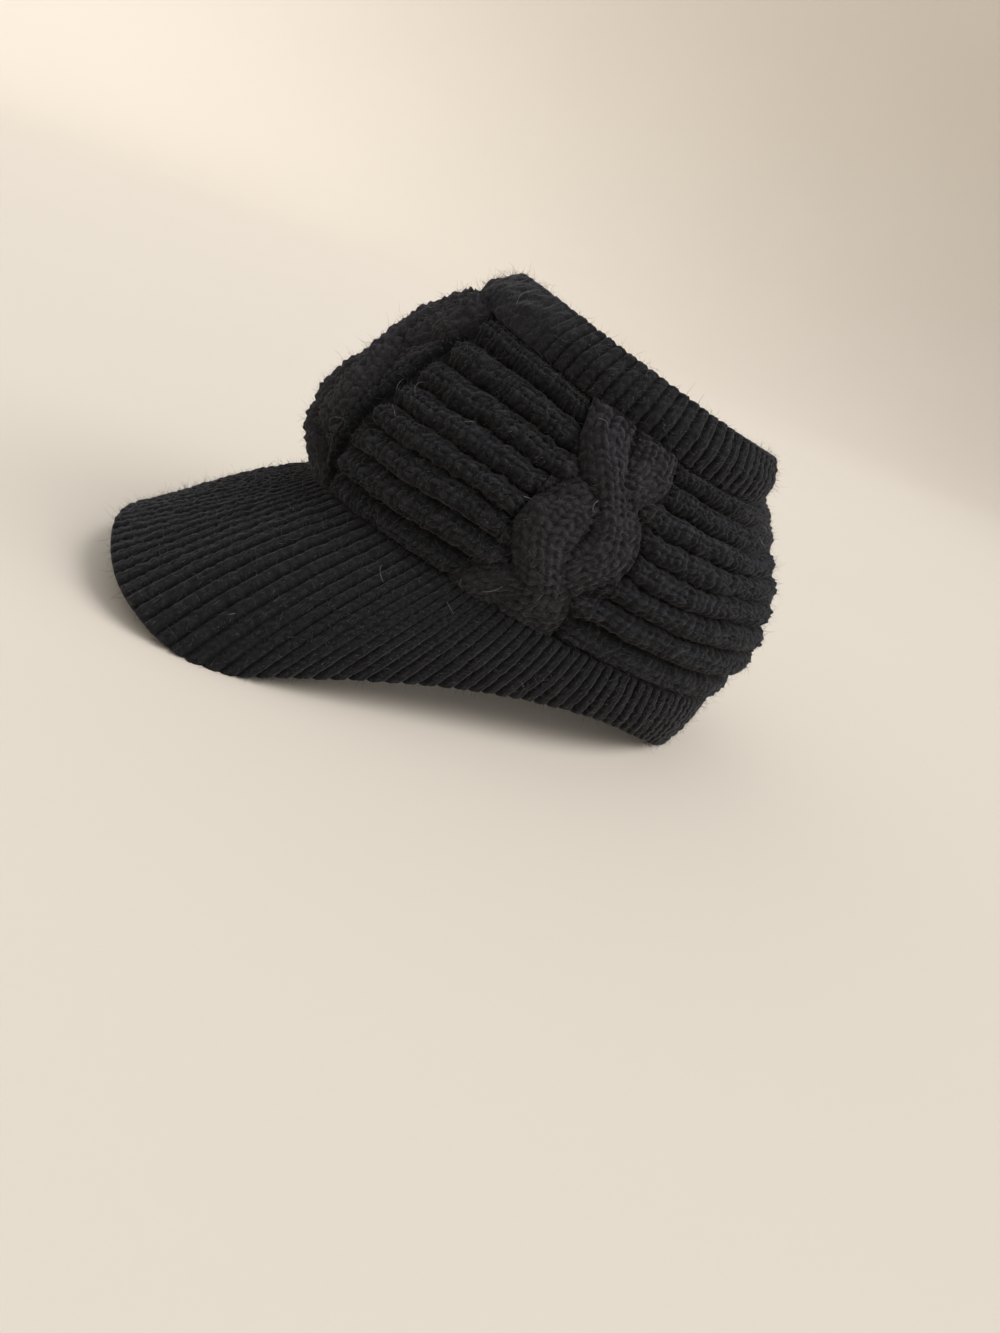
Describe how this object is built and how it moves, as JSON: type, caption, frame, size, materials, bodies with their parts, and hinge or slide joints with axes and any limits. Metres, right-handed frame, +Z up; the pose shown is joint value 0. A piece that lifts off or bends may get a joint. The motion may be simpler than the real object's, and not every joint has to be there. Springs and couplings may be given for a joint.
{
  "type": "ponytail beanie",
  "caption": "Chunky knitted cap with a soft rib-knit peak, cabled crown of thick rolls and a rib-edged open top for a ponytail.",
  "frame": {"origin": "on the table, under the middle of the bounding box, with the cap resting on the nape and the peak's side edges", "axes": "+Z up, +Y from the peak to the nape, +X towards the wearer's left"},
  "size_m": [0.167, 0.289, 0.1612],
  "materials": {
    "roll_knit": "fuzzy matte wool",
    "cable_knit": "fuzzy matte wool",
    "rib_knit": "fuzzy matte wool, fine rib"
  },
  "bodies": {
    "root": {"peak": "rib_knit", "band": "rib_knit", "rim": "rib_knit", "panel_front_left": "roll_knit", "panel_front_right": "roll_knit", "panel_back_left": "roll_knit", "panel_back_right": "roll_knit", "cable_front": "cable_knit", "cable_left": "cable_knit", "cable_right": "cable_knit", "cable_back": "cable_knit"}
  },
  "joints": []
}
